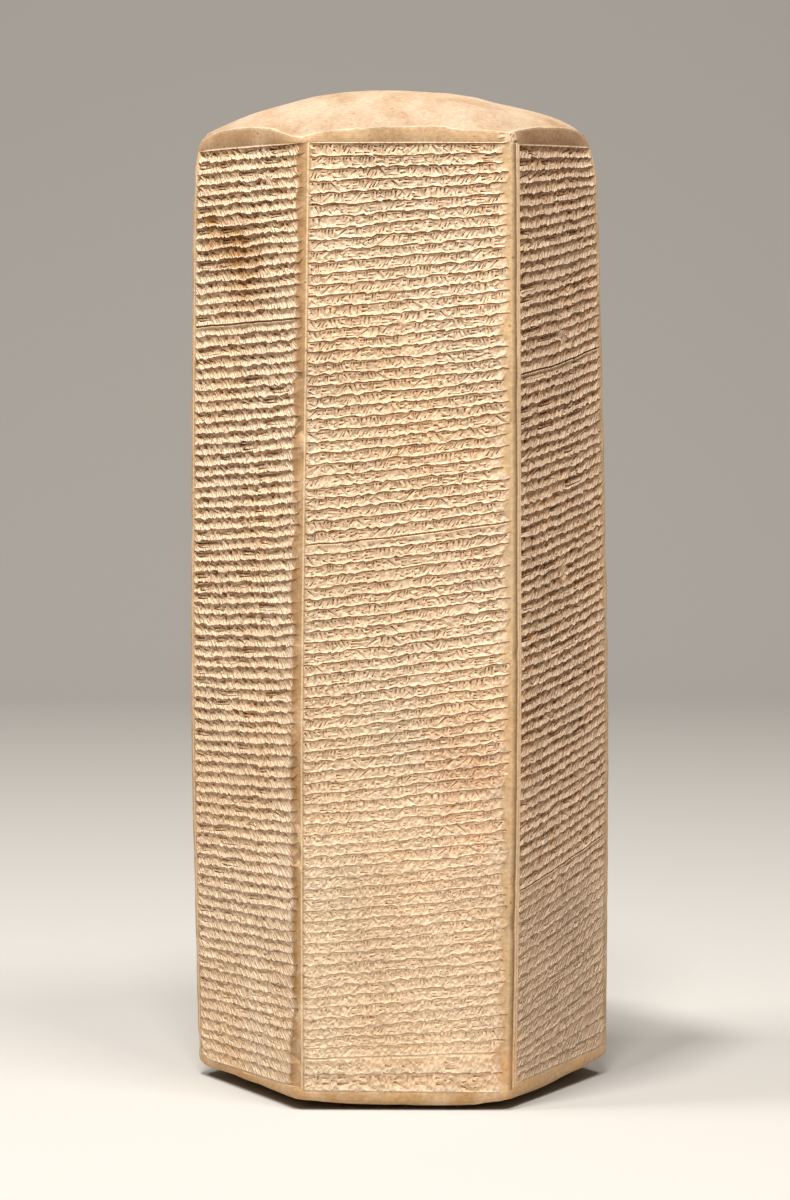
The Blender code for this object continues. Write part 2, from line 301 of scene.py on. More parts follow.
# Signs: half of the head's width, how often the front, right, left and hidden sides have the sign, and its
# strokes. A stroke is the place of its head and of its tail, in a cell 1 wide and 1 high, from the top left
SIGNS = (
    (0.0006, (2, 4, 4, 4), ((0.25, 0.02, 0.25, 0.84), (0.74, 0.03, 0.74, 0.94))),
    (0.00052, (2, 9, 10, 4), ((0.16, 0.02, 0.14, 0.9), (0.48, 0.03, 0.48, 0.8), (0.82, 0.02, 0.82, 0.94))),
    (0.00056, (5, 0, 0, 3), ((0.06, 0.24, 0.6, 0.24), (0.06, 0.62, 0.6, 0.6), (0.7, 0.44, 0.97, 0.4))),
    (0.00048, (4, 1, 1, 2), ((0.08, 0.15, 0.92, 0.15), (0.05, 0.47, 0.66, 0.47), (0.1, 0.8, 0.94, 0.8))),
    (0.0005, (6, 4, 4, 4), ((0.03, 0.2, 0.5, 0.2), (0.03, 0.6, 0.5, 0.62), (0.66, 0.04, 0.66, 0.84),
                            (0.9, 0.02, 0.9, 0.94))),
    (0.00054, (4, 2, 7, 3), ((0.04, 0.1, 0.34, 0.8), (0.4, 0.06, 0.68, 0.82), (0.76, 0.1, 0.96, 0.6))),
    (0.00052, (4, 7, 0, 3), ((0.04, 0.78, 0.34, 0.06), (0.38, 0.94, 0.66, 0.2), (0.7, 0.8, 0.97, 0.08))),
    (0.0005, (5, 3, 3, 3), ((0.06, 0.36, 0.46, 0.12), (0.06, 0.44, 0.46, 0.74), (0.68, 0.03, 0.68, 0.9),
                            (0.92, 0.06, 0.92, 0.6))),
    (0.0005, (6, 1, 1, 2), ((0.05, 0.26, 0.36, 0.1), (0.05, 0.34, 0.34, 0.54), (0.54, 0.56, 0.9, 0.36),
                            (0.54, 0.64, 0.88, 0.9))),
    (0.0005, (6, 1, 1, 3), ((0.04, 0.24, 0.44, 0.24), (0.62, 0.03, 0.62, 0.56), (0.88, 0.03, 0.88, 0.56),
                            (0.08, 0.78, 0.9, 0.76))),
    (0.00066, (4, 0, 0, 0), ((0.06, 0.2, 0.4, 0.18), (0.88, 0.04, 0.16, 0.95))),
    (0.00066, (2, 0, 0, 0), ((0.06, 0.06, 0.8, 0.9), (0.6, 0.22, 0.98, 0.22))),
)
SIGN_WEIGHTS = tuple(zip(*(by_side(*weights) for _, weights, _ in SIGNS)))


def strokes_of_row(side, row, width, tall, rng):
    """Start, end and half of the head's width of each stroke, in metres from the row's top left corner."""
    found = []
    scale = LARGE_SIGN_SCALE if side == 0 and row >= LARGE_SIGNS_FROM else 1.0
    x = ROW_END_GAP + rng.uniform(0, 3 * ROW_END_GAP)
    lean = LEANS[side] + rng.uniform(-LEAN_JITTER, LEAN_JITTER)
    while True:
        cell = CELLS[side] * scale * rng.uniform(*CELL_SPREAD)
        if x + cell > width - ROW_END_GAP:
            return found
        head, _, strokes = rng.choices(SIGNS, SIGN_WEIGHTS[side])[0]
        if rng.random() < EMPTY_CELLS:
            x += cell
            continue
        for stroke in strokes:
            x0, y0, x1, y1 = (value + rng.uniform(-STROKE_JITTER, STROKE_JITTER) for value in stroke)
            start, end = (Vector((x + across * cell, down * tall * STROKE_BANDS[side]))
                          for across, down in ((x0, y0), (x1, y1)))
            for point in (start, end):
                point.x += lean * (point.y - tall * 0.4)
            half = min(head * rng.uniform(*HEAD_SPREAD) * scale, cell * WIDEST_HEAD) * HEAD_SHARES[side]
            found.append((start, end, half))
        x += cell


def line_columns(side, line, under):
    """Places along a side at which a ruled line has vertices. The first and the last line have fewer."""
    left = -(HALF_SIDE - LEFT_MARGINS[side])
    right = HALF_SIDE - RIGHT_MARGINS[side]
    count = LINE_COLUMNS[side]
    if not is_end(side, line):
        right += RAGGED[side] * clamp(2 * ripple(line * 0.71, side * 4.1 + 0.25 * under, 6.6), -1.0)
    elif not under:
        return [left + (right - left) * i / count for i in range(0, count + 1, RING_STEPS[side])]
    columns = [left]
    for i in range(1, count):
        shift = COLUMN_JITTER * (chance(i, line, side + 20) - 0.5)
        columns.append(left + (right - left) * (i + shift) / count)
    return columns + [right]


def add_line(side, line, under=False):
    """A line of vertices across a field: the lip over a ruled line, or with under the root just below it."""
    columns = line_columns(side, line, under)
    section = line in SECTION_LINES[side]
    even = section or (is_end(side, line) and not under)
    ids = []
    for i, along in enumerate(columns):
        bite = 0.0 if even or i in (0, len(columns) - 1) else chance(i, line, side)
        height = ruling(side, line, along)
        if line:
            height += BITE_HEIGHTS[side] * bite
        if under:
            height -= LEDGE
            depth = row_depth(side, line, 0.0, along)
        else:
            depth = row_depth(side, line - 1, 1.0, along) if line else 0.0
        recess, kind = 0.0, MARGIN
        if i == 0:
            depth = 0.0
        elif i == len(columns) - 1:
            depth, recess = 0.25 * depth, END_SHADES[side] * (1.0 if under else 0.25)
        elif not under:
            depth, kind = depth + LIP_BITES[side] * bite, LIP
        elif section:
            depth, recess, kind = SECTION_DEPTHS[side], SECTION_SHADES[side], TEXT
        else:
            # Painted shade under the lip, darker where a stroke bites up into it
            shade = TROUGH_SHADES[side]
            recess = shade + (1 - shade) * (BITE_SHADE[0] + BITE_SHADE[1] * bite)
            depth, kind = depth * (BITE_DEPTH[0] + BITE_DEPTH[1] * bite), TEXT
        ids.append(surface.on_side(side, along, depth, height, recess, kind))
    if section:
        section_lines[side] += ids
    return ids


def sew(upper, lower, upper_keys, lower_keys, region="side"):
    """Triangles between two lines of vertices that run to the right, joined in the order of their keys."""
    i = j = 0
    while i < len(upper) - 1 or j < len(lower) - 1:
        if j == len(lower) - 1 or (i < len(upper) - 1 and upper_keys[i + 1] <= lower_keys[j + 1]):
            surface.triangle(upper[i], lower[j], upper[i + 1], region)
            i += 1
        else:
            surface.triangle(upper[i], lower[j], lower[j + 1], region)
            j += 1


def stitch(left, right):
    """Triangles between two lines of vertices that run from the top down."""
    sew(right, left, *([-surface.verts[vert].height for vert in line] for line in (right, left)))


def add_row(side, row, root, lip, rng):
    """The ground and the strokes between a row's deep upper line and the next ruled line's lip."""
    columns = line_columns(side, row, True)
    next_columns = line_columns(side, row + 1, False)
    left, right = columns[0], min(columns[-1], next_columns[-1])
    tall = from_table(RULED_LINES[side], row) - from_table(RULED_LINES[side], row + 1) - LEDGE
    width = right - left
    jitter = GROUND_JITTERS[side]
    borders = []
    for line, places, level in ((row, columns, tall), (row + 1, next_columns, 0.0)):
        plain = is_end(side, line) or line in SECTION_LINES[side]
        border = []
        for i, along in enumerate(places):
            even = plain or i in (0, len(places) - 1)
            rise = 0.0 if even else BITE_HEIGHTS[side] * chance(i, line, side)
            border.append(Vector((along - left, level + rise)))
        borders.append(border)
    points = borders[0] + borders[1]
    levels = [([point.x for point in border], [point.y for point in border]) for border in borders]
    ids = root + lip
    corner, last = len(columns) - 1, len(points) - 1
    edges = [(i, i + 1) for i in range(last) if i != corner]
    edges += [(0, corner + 1), (corner, last)]

    def inside(point):
        x = clamp(point.x, ROW_MARGIN, width - ROW_MARGIN)
        high, low = (float(np.interp(x, *level)) for level in levels)
        return Vector((x, min(high - ROW_MARGIN, max(low + ROW_MARGIN, point.y))))

    def vertex(point, extra, recess):
        share = 1 - point.y / tall
        if extra < 0.0:
            extra *= 1 - 0.85 * smooth(0.45, 0.80, share)
        along = left + point.x
        ease = clamp(min(point.x, width - point.x) / END_FADE)
        height = ruling(side, row, along) - LEDGE
        height += (ruling(side, row + 1, along) - height) * share
        return surface.on_side(side, along, row_depth(side, row, share, along) * ease + extra, height, recess)

    if row in SECTION_LINES[side]:
        for along in columns[1:-1]:
            point = Vector((along - left, tall * (1 - SHOULDER_AT)))
            points.append(point)
            ids.append(vertex(point, LIP_DEPTH - row_depth(side, row, SHOULDER_AT, along), 0.0))
    # Vertices at the end of the trough, with painted shade, and where the swelling begins
    trough = (TROUGH_AT, TROUGH_SHADES[side], TROUGH_STEPS[side])
    for level, shade, step in (trough, (SWELL_AT, 0.0, SWELL_STEPS[side])):
        for i in range(1, corner, step):
            x = columns[i] - left + rng.uniform(-1, 1) * jitter
            point = inside(Vector((x, tall * (1 - level + rng.uniform(-LEVEL_JITTER, LEVEL_JITTER)))))
            points.append(point)
            ids.append(vertex(point, rng.uniform(-0.6, 0.6) * jitter, shade * rng.uniform(0.6, 1.2)))
    for start, end, half in strokes_of_row(side, row, width, tall, rng):
        start, end = (Vector((point.x, tall - point.y)) for point in (start, end))
        run = (end - start).normalized()
        across = Vector((-run.y, run.x)) * half
        deep = start + run * min(DEEPEST_AT * (end - start).length, half * 0.9)
        shape = [inside(point) for point in (start - across, start + across, end, deep)]
        if row in SECTION_LINES[side] and max(point.y for point in shape) > HIGHEST_STROKE * tall:
            continue
        if abs((shape[1] - shape[0]).cross(shape[2] - shape[0])) < SMALLEST_STROKE:
            continue
        cut = STROKE_DEPTHS[side] * rng.uniform(*CUT_SPREAD) * min(1.3, half / USUAL_HEAD)
        # Clay pushed up at both ends of the head. The third draw isn't used
        heaps = [rng.uniform(-1, 1) * jitter * 0.5 - jitter * 0.5 for _ in range(3)]
        # Painted shade at the corners of a stroke's head, more of it toward the top of the row
        shades = [TROUGH_SHADES[side] * (point.y / tall) ** 0.5 for point in shape]
        first = len(points)
        if side == 0:
            points += shape
            ids.append(vertex(shape[0], heaps[0], 0.0))
            edges += [(first, first + 1), (first + 1, first + 2), (first + 2, first)]
        else:
            points += shape[1:]
            edges += [(first, first + 2), (first + 1, first + 2)]
        dark = STROKE_SHADES[side]
        ids += [vertex(shape[1], heaps[1], shades[1]),
                vertex(shape[2], cut * TAIL_SHARE, 0.4 * dark + shades[2]), vertex(shape[3], cut, dark)]
    coords, _, faces, origin, _, _ = delaunay_2d_cdt(points, edges, [], 0, 1e-7, True)
    # Points that the triangulation adds get a little painted shade
    place = [ids[came_from[0]] if came_from else vertex(coord, 0.0, 0.2)
             for coord, came_from in zip(coords, origin)]
    for face in faces:
        middle = sum((coords[i] for i in face), Vector((0, 0))) / 3
        high, low = (float(np.interp(middle.x, *level)) for level in levels)
        if low < middle.y < high:
            surface.triangle(*(place[i] for i in face), "side")


def add_field(side):
    """All rows of a side, from the top down. Returns its top line, bottom line and two edges, top down."""
    rng = random.Random(SEED + side)
    top = lip = add_line(side, 0)
    edges = [[top[0]], [top[-1]]]
    for row in range(ROW_COUNTS[side]):
        root = add_line(side, row, True)
        sew(lip, root, line_columns(side, row, False), line_columns(side, row, True), "ledge")
        lip = add_line(side, row + 1)
        add_row(side, row, root, lip, rng)
        for ends, at in zip(edges, (0, -1)):
            ends += [root[at], lip[at]]
    return top, lip, edges


def rough(height, around, fine, coarse):
    """A little unevenness of the plain clay."""
    return (fine * ripple(around / 0.004, height / 0.006, 1.7)
            + coarse * ripple(around / 0.012, height / 0.018, 9.1))


# Lines down the left margin of each side: share of the margin, depth and kind
PLAIN_EDGE = ((0.38, -0.00008, RIDGE), (0.70, 0.00030, MARGIN))
LEFT_EDGES = by_side(
    ((0.45, -0.00010, RIDGE),),
    ((0.10, 0.00020, MARGIN), (0.24, -0.00014, RIDGE), (0.40, -0.00014, RIDGE), (0.50, 0.00045, MARGIN),
     (0.62, 0.00045, MARGIN), (0.74, -0.00012, RIDGE), (0.90, -0.00010, RIDGE)),
    PLAIN_EDGE, PLAIN_EDGE,
)
ARRIS_WEAR = (0.0003, 0.0002, 0.0010, 0.0010, 0.0005, 0.0010)  # of the arris after each side
ARRIS_BITES = by_side(0.0, 0.0, 0.0010, 0.0004)  # how far the rows' ends bite into it
# Chips out of the arrises: side before it, place beyond that side, height, reach around, reach up, depth
CHIPS = (
    (5, 0.0030, 0.2535, 0.0026, 0.0022, 0.0012),
    (5, 0.0016, 0.2220, 0.0018, 0.0016, 0.0008),
    (5, 0.0016, 0.1900, 0.0018, 0.0030, 0.0007),
    (5, 0.0040, 0.1060, 0.0016, 0.0024, 0.0006),
    (0, 0.0036, 0.1700, 0.0014, 0.0020, 0.0006),
    (0, 0.0010, 0.2560, 0.0014, 0.0014, 0.0006),
    (0, 0.0030, 0.0690, 0.0018, 0.0040, 0.0008),
    (2, 0.0020, 0.1400, 0.0030, 0.0040, 0.0014),
    (3, 0.0030, 0.3000, 0.0026, 0.0036, 0.0012),
)


def strip_columns(side):
    """Section point, facing, place around, groove depth and kind of each column between two fields."""
    columns = []
    margin = RIGHT_MARGINS[side]
    first = 0.0
    if margin > RAGGED[side] + 0.0004:
        along = HALF_SIDE - margin * 0.26
        columns.append((*on_side(side, along), side * BLOCK + along, -0.00006, MARGIN))
    elif margin <= 0:
        first = math.asin((RAGGED[side] + 0.0002 - margin) / ARRIS_RADIUS) / (2 * HALF_ANGLE)
    for step in range(ARC_STEPS + 1):
        share = first + (1 - first) * step / ARC_STEPS
        columns.append((*on_arris(side, share), side * BLOCK + HALF_SIDE + ARC_LENGTH * share, 0.0, ARRIS))
    after = (side + 1) % SIDES
    for share, groove, kind in LEFT_EDGES[after]:
        along = -HALF_SIDE + LEFT_MARGINS[after] * share
        columns.append((*on_side(after, along), (side + 1) * BLOCK + along, groove, kind))
    return columns


def wear_at(side, around, height):
    """How far the arris is worn or chipped away at a place."""
    wear = ARRIS_WEAR[side] * smooth(0.25, 0.60, ripple(height / 0.010, side * 4.4, around / 0.02))
    share = ((around - HALF_SIDE) % BLOCK) / ARC_LENGTH
    bites = smooth(0.05, 0.40, ripple(height / 0.0036, side * 2.7, share * 1.5))
    wear += ARRIS_BITES[side] * bites * max(0.0, 1 - 1.4 * share)
    for before, beyond, level, reach, up, deep in CHIPS:
        middle = before * BLOCK + HALF_SIDE + beyond
        away = ((around - middle) / reach) ** 2 + ((height - level) / up) ** 2
        wear += deep * math.exp(-away * away)
    return wear


def add_strip(side, left_edge, right_edge):
    """The plain strip after a side, with its arris. Returns the tops and the bottoms of its columns."""
    columns = strip_columns(side)
    ends = [[surface.verts[edge[at]].height for edge in (left_edge, right_edge)] for at in (0, -1)]
    lines = []
    for i, (place, facing, around, groove, kind) in enumerate(columns):
        share = (i + 1) / (len(columns) + 1)
        top, low = (at_left + (at_right - at_left) * share for at_left, at_right in ends)
        line = []
        for level in range(STRIP_LEVELS + 1):
            height = top + (low - top) * level / STRIP_LEVELS
            strength = 0.75 + 0.9 * ripple(height / 0.008, around / 0.0007, 3.0)
            depth = groove * strength + rough(height, around, 0.00014, 0.00020)
            if kind == ARRIS:
                depth += wear_at(side, around, height)
            # Painted shade in the deeper grooves of the margin
            recess = 0.9 * clamp(strength) if kind == MARGIN and groove > 0.0002 else 0.0
            line.append(surface.add(place, facing, depth, height, around, recess, kind))
        lines.append(line)
    stitch(left_edge, lines[0])
    for left, right in zip(lines, lines[1:]):
        for a, b, c, d in zip(left, left[1:], right[1:], right):
            surface.quad(a, b, c, d, "side")
    stitch(lines[-1], right_edge)
    return [line[0] for line in lines], [line[-1] for line in lines]


def bridge_rings(lower, upper, region):
    """Faces between two rings, the second above the first, both running to the right seen from outside."""
    for i in range(len(lower)):
        j = (i + 1) % len(lower)
        surface.quad(lower[i], lower[j], upper[j], upper[i], region)


def add_rings(last, rings, columns, vertex, region, upward):
    """New rings of vertices, each bridged to the one before it. Returns the last of them."""
    for ring in rings:
        new = [surface.add(*vertex(*ring, *column)) for column in columns]
        bridge_rings(*((last, new) if upward else (new, last)), region)
        last = new
    return last


# Lift of the crown's crease where it leaves the sphere: side, place along the side, lift in millimetres
CREASE_LIFTS = (
    (0, -0.041, 0.6), (0, -0.0345, 0.85), (0, -0.028, 0.3), (0, -0.014, -0.4), (0, -0.003, -0.7),
    (0, 0.013, 0.0), (0, 0.021, -0.4), (0, 0.034, 1.5), (0, 0.042, 2.3), (1, -0.0373, 2.3), (1, -0.026, 1.1),
    (1, -0.006, 0.0), (1, 0.012, 0.5), (1, 0.025, 1.4), (1, 0.034, 2.9), (1, 0.043, 3.3), (2, -0.03, 1.6),
    (2, 0.0, 0.8), (3, 0.0, 0.3), (4, 0.0, 0.4), (4, 0.03, 0.9), (5, -0.043, 1.3), (5, -0.0328, 0.7),
    (5, -0.011, -0.4), (5, 0.004, -0.3), (5, 0.0165, -0.2), (5, 0.0247, -0.8), (5, 0.0373, -0.9),
)
# The same for the lower edge of the sides
BASE_LIFTS = (
    (0, -0.040, -1.0), (0, 0.0, -0.5), (0, 0.012, -1.0), (0, 0.028, -1.7), (0, 0.042, -1.2),
    (1, -0.030, -0.4), (1, -0.012, 0.8), (1, 0.008, 2.4), (1, 0.040, 2.4), (2, 0.0, 0.5), (3, 0.0, 0.0),
    (4, 0.0, 0.3), (5, -0.040, 1.5), (5, 0.010, 1.6), (5, 0.026, 0.4), (5, 0.038, -1.0),
)
ROUNDED_CORNERS = (1.5 * BLOCK, 4.5 * BLOCK)  # where around the crease drops and the dome rounds over it
CORNER_REACH = 0.014
CORNER_DROP = 0.0009
DOME_DIP = 0.0010  # how far the dome drops toward the crease
DOME_DIP_REACH = 0.004
CORNER_FILL = 0.5  # share of that drop which the rounded corners fill
SCRAPE_AT = 0.5 * BLOCK - 0.0012  # place around of the scraped patch over the right arris
SCRAPE_REACH = 0.0044
SCRAPE_ROUGHNESS = 0.0011
CROWN_MIDDLE = Vector((0, CROWN_SET_BACK))


def lift_at(table, around):
    places, lifts = zip(*sorted(((side * BLOCK + along) % WHOLE, lift) for side, along, lift in table))
    return float(np.interp(around % WHOLE, places, lifts, period=WHOLE)) * 0.001


def corner_share(around):
    """How near a place is to a rounded corner, from 0 to 1."""
    return max(math.exp(-(((around - centre) / CORNER_REACH) ** 2)) for centre in ROUNDED_CORNERS)


def dome_relief(spot):
    """Low swells and scrapes of the crown."""
    swell = 0.0005 * ripple(spot.x / 0.03, spot.y / 0.03, 2.2)
    scrapes = 0.00018 * ripple(spot.x / 0.007, spot.y / 0.011, 5.2)
    away = (spot - CROWN_MIDDLE).length
    flat = 0.0005 * math.exp(-(((away - 0.028) / 0.010) ** 2)) - 0.0007 * math.exp(-((away / 0.016) ** 2))
    return swell + scrapes + flat - 0.0003


def add_crown(ring):
    """The plain band, the crease and the dome, upward from the ring of first rulings."""
    corner = CORNER_RADIUS * draw_in(HEIGHT)
    radius = (corner**2 + CROWN_RISE**2) / (2 * CROWN_RISE)
    columns = []
    for vert in (surface.verts[i] for i in ring):
        outward = vert.place * draw_in(HEIGHT) - CROWN_MIDDLE
        rounded = corner_share(vert.around)
        crease = HEIGHT - radius + math.sqrt(radius**2 - outward.length**2)
        crease += lift_at(CREASE_LIFTS, vert.around) - CORNER_DROP * rounded
        crease += CREASE_WAVER * (1 - 0.8 * rounded) * ripple(vert.around / 0.0026, 3.0, 8.0)
        columns.append((vert, max(crease, vert.height + NARROWEST_BAND), outward))

    def on_band(share, lean, vert, crease, outward):
        height = vert.height + (crease - CREASE_ROUNDING - vert.height) * share
        depth = BAND_LEAN * lean + rough(height, vert.around, 0.00012, 0.00018) * min(1.0, share * 2)
        dark = 0.0
        if abs(vert.around - SCRAPE_AT) < SCRAPE_REACH:
            pit = ripple(vert.around / 0.0011, height / 0.0016, 7.7)
            depth += SCRAPE_ROUGHNESS * (0.3 + pit)
            # Painted shade in the pits of the scrape
            dark = clamp(2.2 * pit)
        return vert.place, vert.facing, depth, height, vert.around, dark, BAND

    def on_crease(turn, inward, vert, crease, outward):
        height = crease - CREASE_ROUNDING * (1 - turn) * 0.8
        depth = BAND_LEAN + CREASE_ROUNDING * inward + rough(height, vert.around, 0.00015, 0.00025)
        return vert.place, vert.facing, depth, height, vert.around, 0.0, CREASE

    def on_dome(part, vert, crease, outward):
        spot = CROWN_MIDDLE + outward * part
        dip = DOME_DIP * (1 - CORNER_FILL * corner_share(vert.around))
        height = HEIGHT - radius + math.sqrt(radius**2 - (outward * part).length ** 2)
        height += lift_at(CREASE_LIFTS, vert.around) * smooth(0.45, 1.0, part)
        height -= dip * math.exp(-(1 - part) * outward.length / DOME_DIP_REACH)
        height += dome_relief(spot)
        return spot / draw_in(height), vert.facing, 0.0, height, vert.around, 0.0, DOME, part**5

    last = add_rings(ring, BAND_RINGS, columns, on_band, "side", True)
    last = add_rings(last, [(0.35, 0.2)], columns, on_crease, "side", True)
    last = add_rings(last, [(1.0, 1.2)], columns, on_crease, "dome", True)
    last = add_rings(last, [(part,) for part in DOME_RINGS], columns, on_dome, "dome", True)
    top = HEIGHT + dome_relief(CROWN_MIDDLE)
    apex = surface.add(CROWN_MIDDLE / draw_in(HEIGHT), Vector((0, -1)), 0.0, top, 0.0, 0.0, DOME, 0.0)
    bridge_rings(last, [apex] * len(last), "dome")


def add_base(ring):
    """The lower edge, the domed underside and the flat foot, downward from the ring of last rulings."""
    share_low = draw_in(0.0)
    foot = APOTHEM * share_low - FOOT_INSET
    corner = CORNER_RADIUS * share_low
    radius = math.hypot((corner**2 - foot**2 - BASE_LIFT**2) / (2 * BASE_LIFT), corner)
    centre = math.sqrt(radius**2 - foot**2)
    inner = radius - BASE_EDGE_RADIUS
    columns = []
    for vert in (surface.verts[i] for i in ring):
        length = vert.place.length * share_low
        bend = centre - math.sqrt(inner**2 - (length - BASE_EDGE_RADIUS) ** 2)
        bend = min(bend + lift_at(BASE_LIFTS, vert.around), vert.height - LOWEST_STEP)
        reach = math.acos((length - BASE_EDGE_RADIUS) / inner)
        columns.append((vert, length, bend, reach))

    def over_edge(vert, length, bend, reach):
        depth = rough(bend, vert.around, 0.00012, 0.0002)
        height = max((vert.height + bend) / 2, vert.height - LOWEST_STEP)
        return vert.place, vert.facing, depth, height, vert.around, 0.0, EDGE

    def on_edge(share, vert, length, bend, reach):
        inset = BASE_EDGE_RADIUS * (1 - math.cos(reach * share))
        height = max(0.0006, bend - BASE_EDGE_RADIUS * math.sin(reach * share))
        height += 0.00015 * ripple(vert.around / 0.005, share * 2, 3.3)
        spot = vert.place.normalized() * (length - inset) / share_low
        return spot, vert.facing, 0.0, height, vert.around, 0.0, EDGE

    def under(share, vert, length, bend, reach):
        edge = length - BASE_EDGE_RADIUS * (1 - math.cos(reach))
        out = edge + (foot - edge) * share
        height = centre - math.sqrt(radius**2 - out**2) + lift_at(BASE_LIFTS, vert.around) * (1 - share)
        height = max(0.0002, height) if share < 1 else 0.0
        return vert.place.normalized() * out / share_low, vert.facing, 0.0, height, vert.around, 0.0, UNDER

    last = add_rings(ring, [()], columns, over_edge, "side", False)
    last = add_rings(last, [(0.0,), (0.33,), (0.66,), (1.0,)], columns, on_edge, "side", False)
    last = add_rings(last, [(0.25,), (0.5,), (0.75,), (1.0,)], columns, under, "under", False)
    middle = surface.add(Vector((0, 0)), Vector((0, -1)), 0.0, 0.0, 0.0, 0.0, UNDER)
    bridge_rings([middle] * len(last), last, "under")


fields = [add_field(side) for side in range(SIDES)]
top_ring, bottom_ring = [], []
for side, (top, bottom, edges) in enumerate(fields):
    tops, bottoms = add_strip(side, edges[1], fields[(side + 1) % SIDES][2][0])
    top_ring += top + tops
    bottom_ring += bottom + bottoms
add_crown(top_ring)
add_base(bottom_ring)

# From here on each value of the vertices is an array
section = np.array([vert.place for vert in surface.verts])
facing = np.array([vert.facing for vert in surface.verts])
depth, height, around, recess, kind, worn = np.array([vert[2:] for vert in surface.verts]).T.copy()
faces = np.array(surface.faces)
region = np.array(surface.region)
ledges = region == "ledge"
side_of = np.rint(around / BLOCK).astype(int) % SIDES
arris_of = np.floor(around / BLOCK).astype(int) % SIDES
faded = np.ones(len(height))  # how much of its painted shadow the step under a ruled line keeps

# Worn shoulders under the crease: place around, reach to each side, depth at the crease, height of their foot
SHOULDERS = (
    (1.5 * BLOCK, 0.014, 0.0040, 0.340),
    (4.5 * BLOCK, 0.013, 0.0026, 0.338),
    (0.5 * BLOCK, 0.006, 0.0003, 0.352),
)
CREASE_HEIGHT = 0.3625
# How much of the writing is left by height, on the front, the right and the left side
WEAR_BY_HEIGHT = {
    0: ((0.005, 0.50), (0.018, 0.45), (0.020, 0.12), (0.0225, 0.12), (0.025, 0.30), (0.095, 0.38),
        (0.130, 0.66), (0.180, 0.92), (0.300, 1.0), (0.340, 1.15)),
    1: ((0.005, 0.14), (0.030, 0.16), (0.075, 0.28), (0.090, 0.70), (0.120, 0.90), (0.160, 1.0)),
    5: ((0.005, 0.15), (0.030, 0.28), (0.110, 0.60), (0.160, 0.88), (0.240, 1.0)),
}
LEAST_RELIEF = 0.22
# Plain flakes where the face of the clay is lost: side, place along it, height, half of the width and of the
# height, and depth
FLAKES = (
    (5, 0.0170, 0.3440, 0.0036, 0.0030, 0.00040),
    (1, 0.0035, 0.2865, 0.0042, 0.0034, 0.00070),
    (0, -0.0015, 0.2920, 0.0032, 0.0020, 0.00010),
    (1, 0.0020, 0.1985, 0.0026, 0.0040, 0.00070),
    (0, 0.0175, 0.1815, 0.0030, 0.0026, 0.00030),
    (3, 0.0100, 0.2100, 0.0060, 0.0050, 0.00080),
    (2, -0.0120, 0.0900, 0.0050, 0.0040, 0.00070),
    (4, 0.0050, 0.3050, 0.0050, 0.0040, 0.00070),
)
# The little painted shade left on a flake, where the cuts are gone
FLAKE_SHADE = 0.1


def beyond_place(centre):
    """How far to the right of a place around the block each vertex lies."""
    return (around - centre + WHOLE / 2) % WHOLE - WHOLE / 2


def from_place(centre):
    """Distance along the surface from a place around the block."""
    return np.abs(beyond_place(centre))


def wear_writing():
    """Wears the writing down where it is faint, and lays plain flakes over it."""
    text = np.isin(kind, (TEXT, LIP))
    for number, table in WEAR_BY_HEIGHT.items():
        left = np.interp(height, *zip(*table))
        here = text & (side_of == number)
        depth[here] *= (LEAST_RELIEF + (1 - LEAST_RELIEF) * left)[here]
        recess[here] *= left[here]
        faded[here] = left[here]
    for verts, shade in zip(section_lines, SECTION_SHADES):
        faded[verts] *= shade
    for side, along, level, wide, tall, deep in FLAKES:
        right, up = beyond_place(side * BLOCK + along) / wide, (height - level) / tall
        inside = text & (np.abs(right) + np.abs(up + 0.4 * right) < 1.0)
        depth[inside] = deep * (1 - 0.6 * up[inside])
        recess[inside] = FLAKE_SHADE
        faded[inside] = FLAKE_SHADE
        kind[inside] = TEXT


def world_places():
    """Every vertex in the part's own frame, drawn in, turned and moved as the block is."""
    sunk = depth.copy()
    for centre, reach, inward, begins in SHOULDERS:
        rise = np.clip((height - begins) / (CREASE_HEIGHT - begins), 0, 1.1) ** 2
        sunk += worn * inward * rise * np.exp(-((from_place(centre) / reach) ** 2))
    flat = section * draw_in(height)[:, None] - facing * sunk[:, None]
    turn = BASE_TURN + TWIST * height / HEIGHT
    x = flat[:, 0] * np.cos(turn) - flat[:, 1] * np.sin(turn) - LEAN * height / HEIGHT + AXIS_X
    y = flat[:, 0] * np.sin(turn) + flat[:, 1] * np.cos(turn)
    return np.column_stack([x, y, height])


def add_object(name, data):
    thing = bpy.data.objects.new(name, data)
    bpy.context.scene.collection.objects.link(thing)
    return thing


wear_writing()
places = world_places()
mesh = bpy.data.meshes.new("prism_clay")
mesh.from_pydata(places.tolist(), [], surface.faces)
mesh.update()
prism = add_object("prism_clay", mesh)
mesh.shade_smooth()
mesh.set_sharp_from_angle(angle=math.radians(18))

# Colours of the clay, with painted shade and painted highlights among them
TEXT_CLAY = (0.72, 0.52, 0.335)
PINK_CLAY = (0.735, 0.57, 0.405)
TURN_SHADE_CLAY = (0.27, 0.165, 0.085)  # painted shade where the right arris turns toward the right side
GREY_CLAY = (0.53, 0.38, 0.26)
OCHRE_CLAY = (0.60, 0.375, 0.182)
# The crown's clay, painted darker than it is to offset the strong light from above
DIMMED_CROWN_CLAY = (0.318, 0.236, 0.165)
STRIP_CLAYS = ((0.63, 0.44, 0.246), (0.50, 0.34, 0.19), (0.46, 0.31, 0.17), (0.48, 0.33, 0.18),
               (0.46, 0.31, 0.17), (0.40, 0.245, 0.115))  # of the arris after each side
